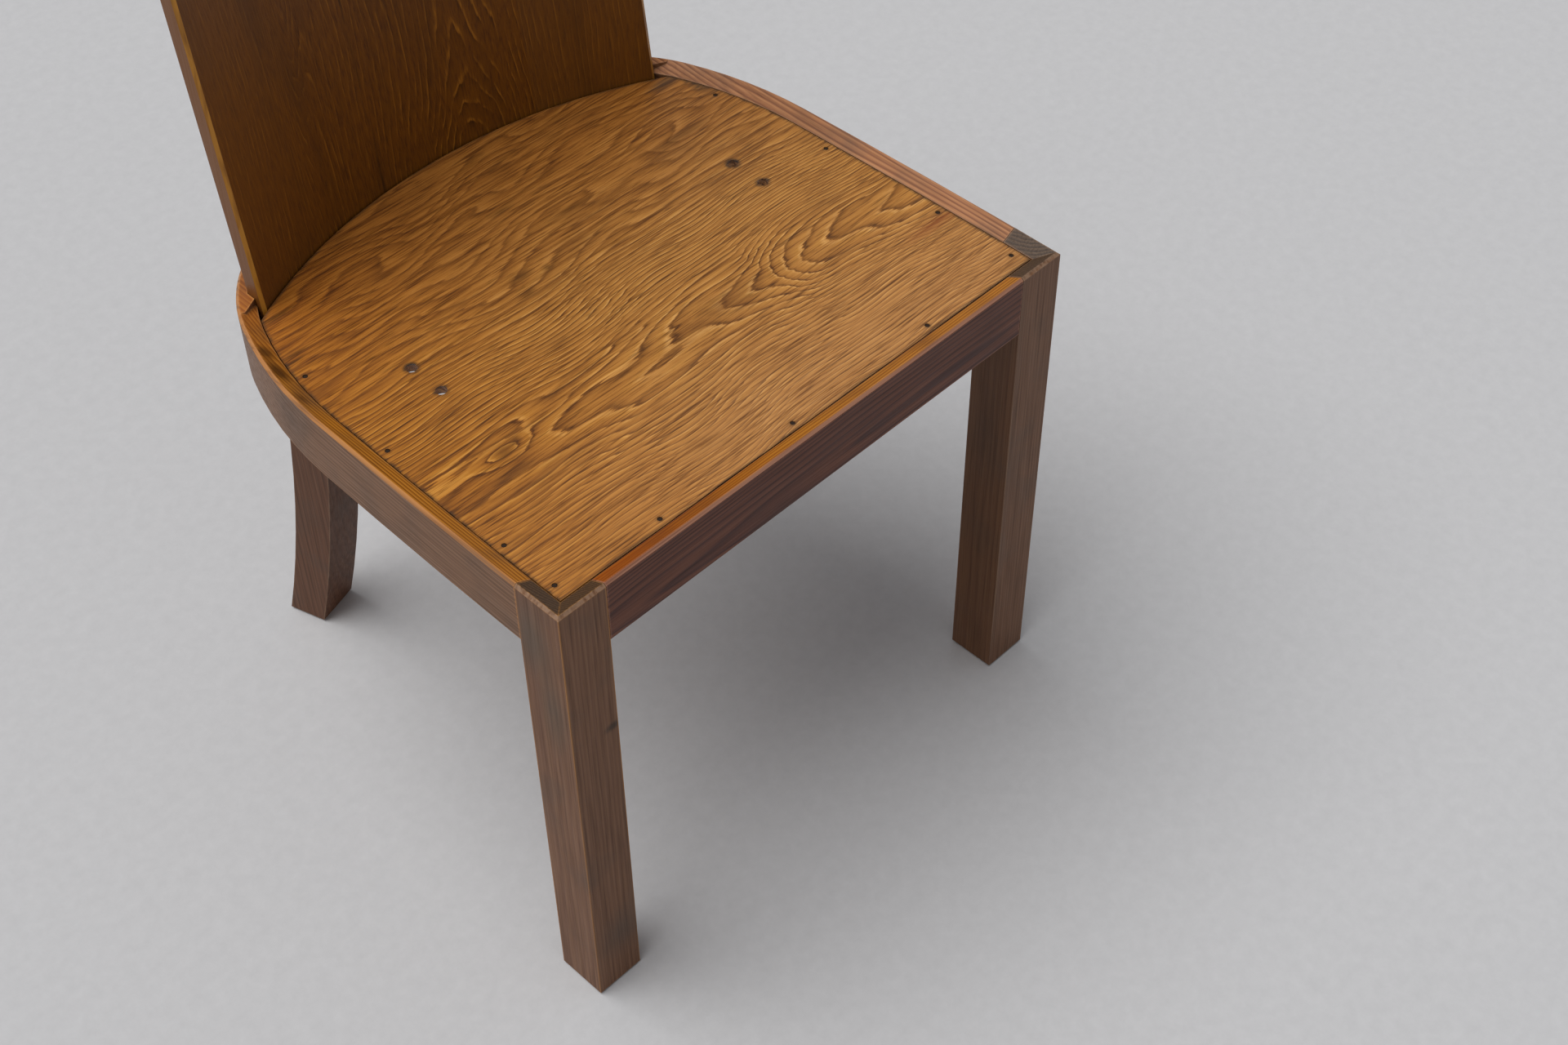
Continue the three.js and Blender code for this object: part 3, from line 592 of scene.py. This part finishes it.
# The arched figure low down, right of the middle, stands out more than the rest
arch = add(tree, "Math", {0: spot[0], 1: -arch_middle / 1000}, operation="ADD").outputs[0]
arch = add(tree, "Math", {0: arch}, operation="ABSOLUTE").outputs[0]
arch = add(tree, "MapRange", {"Value": arch, 1: 0.075, 2: 0.02, 3: 0.5, 4: 0.95}).outputs[0]
clear = add(tree, "Math", {0: dash, 1: arch}, operation="MULTIPLY").outputs[0]
wood = add(tree, "Mix", {0: clear, 6: hue("#724309"), 7: lines}, data_type="RGBA").outputs[2]
fibre = add(
    tree, "TexNoise", {"Vector": thread, "Scale": 1000 / 1.3, "Detail": 4.0, "Roughness": 0.62}
).outputs["Fac"]
shade = add(
    tree, "ValToRGB", {"Fac": fibre}, stops=[(0.3, "#a8998a"), (0.5, "#ebe5dc"), (0.68, "#ffffff")]
).outputs[0]
wood = add(tree, "Mix", {0: 0.85, 6: wood, 7: shade}, data_type="RGBA", blend_type="MULTIPLY").outputs[2]
# The sheet right of the veneer joint took the stain a little lighter
joint = add(tree, "MapRange", {"Value": spot[0], 1: 0.0948, 2: 0.0952, 3: 0.0, 4: 0.3}).outputs[0]
wood = add(tree, "Mix", {0: joint, 6: wood, 7: hue("#6b4419")}, data_type="RGBA").outputs[2]
# One dark upright line left of the middle
line_aside = 46.0
line = add(tree, "Math", {0: spot[0], 1: line_aside / 1000}, operation="ADD").outputs[0]
line = add(tree, "Math", {0: line}, operation="ABSOLUTE").outputs[0]
line = add(tree, "MapRange", {"Value": line, 1: 0.0018, 2: 0.0004, 3: 0.0, 4: 0.75}).outputs[0]
line = add(tree, "Math", {0: line, 1: dash}, operation="MULTIPLY").outputs[0]
wood = add(tree, "Mix", {0: line, 6: wood, 7: hue("#241303")}, data_type="RGBA").outputs[2]
blot = add(tree, "TexNoise", {"Vector": drawn, "Scale": 1000 / 30, "Detail": 4.0}).outputs["Fac"]
blot = add(tree, "MapRange", {"Value": blot, 1: 0.5, 2: 0.72, 3: 0.0, 4: 0.55}).outputs[0]
wood = add(tree, "Mix", {0: blot, 6: wood, 7: hue("#4a2a08")}, data_type="RGBA").outputs[2]
# Left side catches the light and shows a warmer brown
warm = add(tree, "MapRange", {"Value": spot[0], 1: -0.09, 2: -0.19, 3: 0.0, 4: 0.35}).outputs[0]
wood = add(tree, "Mix", {0: warm, 6: wood, 7: hue("#855424")}, data_type="RGBA").outputs[2]
# Edge of the sheet, bare plies under thin stain
flank = add(tree, "NewGeometry").outputs["True Normal"]
facing = add(tree, "SeparateXYZ", {0: flank}).outputs
flank = add(tree, "Math", {0: facing[0]}, operation="ABSOLUTE").outputs[0]
flank = add(tree, "MapRange", {"Value": flank, 1: 0.75, 2: 0.85, 3: 0.0, 4: 0.8}).outputs[0]
wood = add(tree, "Mix", {0: flank, 6: wood, 7: hue("#74461a")}, data_type="RGBA").outputs[2]
# Arrises rubbed back to amber
side = add(tree, "Math", {0: spot[0]}, operation="SIGN").outputs[0]
outer = add(tree, "Math", {0: facing[0], 1: side}, operation="MULTIPLY").outputs[0]
bare = add(tree, "MapRange", {"Value": outer, 1: -0.35, 2: 0.0, 3: 0.0, 4: 1.0}).outputs[0]
reach = add(tree, "Math", {0: spot[0]}, operation="ABSOLUTE").outputs[0]
reach = add(tree, "MapRange", {"Value": reach, 1: 0.174, 2: 0.178, 3: 0.0, 4: 1.0}).outputs[0]
bare = add(tree, "Math", {0: bare, 1: reach}, operation="MULTIPLY").outputs[0]
ahead = add(tree, "MapRange", {"Value": facing[1], 1: -0.3, 2: -0.4, 3: 0.0, 4: 1.0}).outputs[0]
bare = add(tree, "Math", {0: bare, 1: ahead}, operation="MULTIPLY").outputs[0]
rubbed = add(tree, "MapRange", {"Value": dash, 1: 0.0, 2: 0.6, 3: 0.35, 4: 1.0}).outputs[0]
bare = add(tree, "Math", {0: bare, 1: rubbed}, operation="MULTIPLY").outputs[0]
wood = add(tree, "Mix", {0: bare, 6: wood, 7: hue("#b47c2c")}, data_type="RGBA").outputs[2]
gloss = add(tree, "MapRange", {"Value": fibre, 1: 0.3, 2: 0.7, 3: 0.5, 4: 0.36}).outputs[0]
ridge = add(tree, "Math", {0: ring, 1: -0.5, 2: fibre}, operation="MULTIPLY_ADD").outputs[0]
grainy = add(tree, "Bump", {"Height": ridge, "Strength": 0.35, "Distance": 0.0004}).outputs[0]
surface = tree.nodes["Principled BSDF"]
surface.inputs["Specular IOR Level"].default_value = 0.3
tree.links.new(wood, surface.inputs["Base Color"])
tree.links.new(gloss, surface.inputs["Roughness"])
tree.links.new(grainy, surface.inputs["Normal"])
back_cuts = ((0, np.arange(-186, 187, 4)), (2, np.arange(390, 800, 10)))
make("back_panel", back_wood, ease=0.0, cuts=back_cuts, figure=back_rings)

# Back screws
# Plain countersunk steel screws that fix the back panel to the rear legs and the back rail,
# their heads dull with a brown bloom.
steel = bpy.data.materials.new("dull steel screw head")
steel.use_nodes = True
tree = steel.node_tree
bloom = add(tree, "TexNoise", {"Scale": 1000 / 1.5, "Detail": 3.0}).outputs["Fac"]
tint = add(
    tree, "ValToRGB", {"Fac": bloom}, stops=[(0.35, "#5a4a3c"), (0.55, "#7f7a72"), (0.7, "#96928a")]
).outputs[0]
surface = tree.nodes["Principled BSDF"]
tree.links.new(tint, surface.inputs["Base Color"])
surface.inputs["Metallic"].default_value = 1.0
surface.inputs["Roughness"].default_value = 0.5
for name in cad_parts:
    if name.startswith("back_screw"):
        make(name, steel, ease=0.2)

# Floor
# A seamless sheet of pale grey studio floor with a faint mottle, wide enough to run to the
# horizon, that takes the soft shadow of the chair.
sheet = bpy.data.meshes.new("floor")
wide = 12.0
corners = [(-wide, -wide, 0), (wide, -wide, 0), (wide, wide, 0), (-wide, wide, 0)]
sheet.from_pydata(corners, [], [(0, 1, 2, 3)])
floor = bpy.data.objects.new("floor", sheet)
bpy.context.scene.collection.objects.link(floor)
pale = bpy.data.materials.new("pale grey studio floor")
pale.use_nodes = True
tree = pale.node_tree
mottle = add(tree, "TexCoord").outputs["Object"]
mottle = add(
    tree, "TexNoise", {"Vector": mottle, "Scale": 1000 / 12, "Detail": 6.0, "Roughness": 0.7}
).outputs["Fac"]
tint = add(tree, "ValToRGB", {"Fac": mottle}, stops=[(0.3, "#bcbcbe"), (0.7, "#c3c3c5")]).outputs[0]
surface = tree.nodes["Principled BSDF"]
tree.links.new(tint, surface.inputs["Base Color"])
surface.inputs["Roughness"].default_value = 0.8
sheet.materials.append(pale)

# Light
# One broad soft source high at the back left and a pale even room all round.
lamp = bpy.data.lights.new("soft ceiling light", "SUN")
lamp.energy = 2.36
lamp.angle = math.radians(52)
lamp.color = hue("#fffefc")[:3]
window = bpy.data.objects.new("soft ceiling light", lamp)
aim = Vector((0.85, -0.5, -2.2))
window.rotation_euler = aim.to_track_quat("-Z", "Y").to_euler()
bpy.context.scene.collection.objects.link(window)
room = bpy.data.worlds.new("pale room")
bpy.context.scene.world = room
room.use_nodes = True
tree = room.node_tree
seen = add(tree, "LightPath").outputs["Is Camera Ray"]
glow = add(tree, "Mix", {0: seen, 6: hue("#fbfcff"), 7: hue("#c3c3c5")}, data_type="RGBA").outputs[2]
level = add(tree, "MapRange", {"Value": seen, 1: 0.0, 2: 1.0, 3: 0.34, 4: 1.0}).outputs[0]
tree.links.new(glow, tree.nodes["Background"].inputs["Color"])
tree.links.new(level, tree.nodes["Background"].inputs["Strength"])

# Camera
# Stands where the photograph was taken: in front, to one side, looking steeply down.
stand = Vector((-0.813297, -1.003871, 1.523714))
azimuth, elevation, roll = math.radians(-45.333), math.radians(46.945), math.radians(-0.455)
behind = Vector(
    (math.sin(azimuth) * math.cos(elevation), -math.cos(azimuth) * math.cos(elevation), math.sin(elevation))
)
right = Vector((math.cos(azimuth), math.sin(azimuth), 0.0))
over = right.cross(-behind)
right_rolled = right * math.cos(roll) + over * math.sin(roll)
over_rolled = over * math.cos(roll) - right * math.sin(roll)
eye = bpy.data.cameras.new("camera")
eye.sensor_width = 36.0
eye.lens = 54.156
eye.clip_start = 0.05
camera = bpy.data.objects.new("camera", eye)
bpy.context.scene.collection.objects.link(camera)
turned = Matrix((right_rolled, over_rolled, behind)).transposed().to_4x4()
turned.translation = stand
camera.matrix_world = turned
bpy.context.scene.camera = camera
bpy.context.scene.view_settings.view_transform = "Standard"
